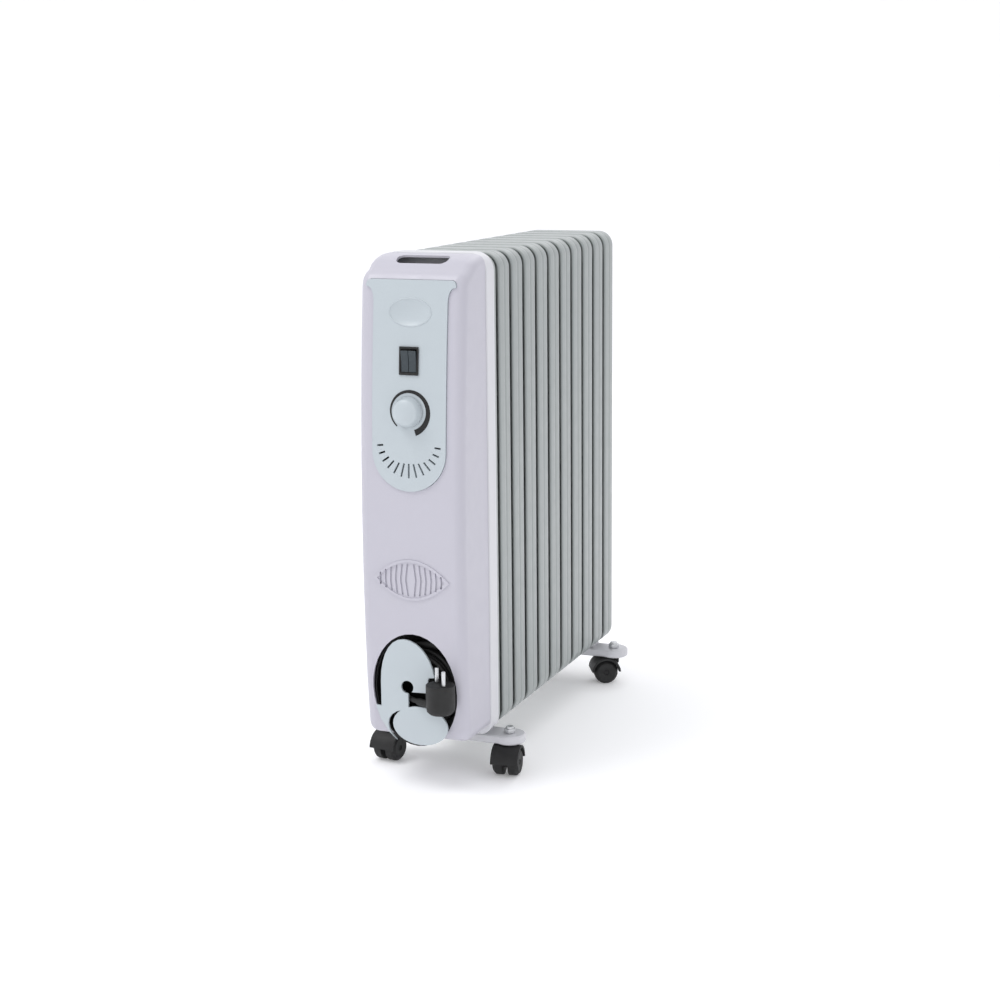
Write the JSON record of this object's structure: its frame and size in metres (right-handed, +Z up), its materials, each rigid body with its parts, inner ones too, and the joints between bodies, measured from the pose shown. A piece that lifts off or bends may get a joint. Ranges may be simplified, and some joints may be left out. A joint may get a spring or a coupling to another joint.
{
  "type": "oil filled radiator heater",
  "caption": "Floor-standing oil filled radiator with pressed steel fins, a plastic control box with switches, thermostat knob and cord reel, on swivel castors.",
  "frame": {"origin": "centre of the heater's footprint on the floor, cord left out", "axes": "+Z up, -Y out of the control box's front, X across the fins"},
  "size_m": [0.202, 0.5765, 0.6453],
  "materials": {
    "enamel": "semi-gloss powder coat",
    "cover_plastic": "smooth moulded",
    "fascia_plastic": "smooth moulded",
    "black_plastic": "fine texture",
    "dark_plastic": "smooth moulded",
    "cord_rubber": "matte",
    "steel": "zinc plated",
    "copper": "plain",
    "brass_parts": "plain",
    "phenolic": "moulded"
  },
  "bodies": {
    "heater": {"fin_01": "enamel", "fin_02": "enamel", "fin_03": "enamel", "fin_04": "enamel", "fin_05": "enamel", "fin_06": "enamel", "fin_07": "enamel", "fin_08": "enamel", "fin_09": "enamel", "fin_10": "enamel", "fin_11": "enamel", "rear_shell": "enamel", "castor_bar_front": "enamel", "castor_bar_rear": "enamel", "front_cover": "cover_plastic", "cord_reel_flange": "cover_plastic", "fascia_panel": "fascia_plastic", "switch_frame": "black_plastic", "cord_reel_tub": "black_plastic", "cord_reel_hub": "black_plastic", "cord_gland": "black_plastic", "plug_body": "black_plastic", "thermal_cutout": "black_plastic", "cord_coil": "cord_rubber", "cord_lead": "cord_rubber", "cord_tail": "cord_rubber", "plug_pin_rear": "steel", "plug_pin_front": "steel", "u_bolt_front": "steel", "u_bolt_rear": "steel", "wing_nut_front_left": "steel", "wing_nut_front_right": "steel", "wing_nut_rear_left": "steel", "wing_nut_rear_right": "steel", "heating_element": "copper", "element_flange": "brass_parts", "thermostat_body": "phenolic", "terminal_block": "phenolic", "castor_bolt_front_left": "steel", "castor_bolt_front_right": "steel", "castor_bolt_rear_left": "steel", "castor_bolt_rear_right": "steel"},
    "knob": {"thermostat_knob": "fascia_plastic", "thermostat_shaft": "brass_parts"},
    "rocker_left": {"rocker_left": "dark_plastic"},
    "rocker_right": {"rocker_right": "dark_plastic"},
    "castor_front_left": {"castor_hood_front_left": "black_plastic"},
    "wheel_a_front_left": {"castor_wheel_a_front_left": "black_plastic"},
    "wheel_b_front_left": {"castor_wheel_b_front_left": "black_plastic"},
    "castor_front_right": {"castor_hood_front_right": "black_plastic"},
    "wheel_a_front_right": {"castor_wheel_a_front_right": "black_plastic"},
    "wheel_b_front_right": {"castor_wheel_b_front_right": "black_plastic"},
    "castor_rear_left": {"castor_hood_rear_left": "black_plastic"},
    "wheel_a_rear_left": {"castor_wheel_a_rear_left": "black_plastic"},
    "wheel_b_rear_left": {"castor_wheel_b_rear_left": "black_plastic"},
    "castor_rear_right": {"castor_hood_rear_right": "black_plastic"},
    "wheel_a_rear_right": {"castor_wheel_a_rear_right": "black_plastic"},
    "wheel_b_rear_right": {"castor_wheel_b_rear_right": "black_plastic"}
  },
  "joints": [
    {"name": "knob_turn", "type": "hinge", "parent": "heater", "child": "knob", "pos_m": [0, -0.26235, 0.46579], "axis": [0, 0.9983, -0.0589], "range_deg": [0, 270]},
    {"name": "rocker_left_press", "type": "hinge", "parent": "heater", "child": "rocker_left", "pos_m": [-0.0049, -0.2571, 0.5247], "axis": [1, 0, 0], "range_deg": [-16, 0]},
    {"name": "rocker_right_press", "type": "hinge", "parent": "heater", "child": "rocker_right", "pos_m": [0.0049, -0.2571, 0.5247], "axis": [1, 0, 0], "range_deg": [-16, 0]},
    {"name": "swivel_front_left", "type": "hinge", "parent": "heater", "child": "castor_front_left", "pos_m": [-0.079, -0.15368, 0.03979], "axis": [0, 0, 1], "continuous": true},
    {"name": "roll_a_front_left", "type": "hinge", "parent": "castor_front_left", "child": "wheel_a_front_left", "pos_m": [-0.08081, -0.16656, 0.01679], "axis": [-0.9903, 0.1392, 0], "continuous": true},
    {"name": "roll_b_front_left", "type": "hinge", "parent": "castor_front_left", "child": "wheel_b_front_left", "pos_m": [-0.08081, -0.16656, 0.01679], "axis": [-0.9903, 0.1392, 0], "continuous": true},
    {"name": "swivel_front_right", "type": "hinge", "parent": "heater", "child": "castor_front_right", "pos_m": [0.079, -0.15368, 0.03979], "axis": [0, 0, 1], "continuous": true},
    {"name": "roll_a_front_right", "type": "hinge", "parent": "castor_front_right", "child": "wheel_a_front_right", "pos_m": [0.08081, -0.16656, 0.01679], "axis": [-0.9903, -0.1392, 0], "continuous": true},
    {"name": "roll_b_front_right", "type": "hinge", "parent": "castor_front_right", "child": "wheel_b_front_right", "pos_m": [0.08081, -0.16656, 0.01679], "axis": [-0.9903, -0.1392, 0], "continuous": true},
    {"name": "swivel_rear_left", "type": "hinge", "parent": "heater", "child": "castor_rear_left", "pos_m": [-0.079, 0.24732, 0.03979], "axis": [0, 0, 1], "continuous": true},
    {"name": "roll_a_rear_left", "type": "hinge", "parent": "castor_rear_left", "child": "wheel_a_rear_left", "pos_m": [-0.06752, 0.24122, 0.01679], "axis": [-0.4695, -0.8829, 0], "continuous": true},
    {"name": "roll_b_rear_left", "type": "hinge", "parent": "castor_rear_left", "child": "wheel_b_rear_left", "pos_m": [-0.06752, 0.24122, 0.01679], "axis": [-0.4695, -0.8829, 0], "continuous": true},
    {"name": "swivel_rear_right", "type": "hinge", "parent": "heater", "child": "castor_rear_right", "pos_m": [0.079, 0.24732, 0.03979], "axis": [0, 0, 1], "continuous": true},
    {"name": "roll_a_rear_right", "type": "hinge", "parent": "castor_rear_right", "child": "wheel_a_rear_right", "pos_m": [0.06752, 0.24122, 0.01679], "axis": [-0.4695, 0.8829, 0], "continuous": true},
    {"name": "roll_b_rear_right", "type": "hinge", "parent": "castor_rear_right", "child": "wheel_b_rear_right", "pos_m": [0.06752, 0.24122, 0.01679], "axis": [-0.4695, 0.8829, 0], "continuous": true}
  ]
}
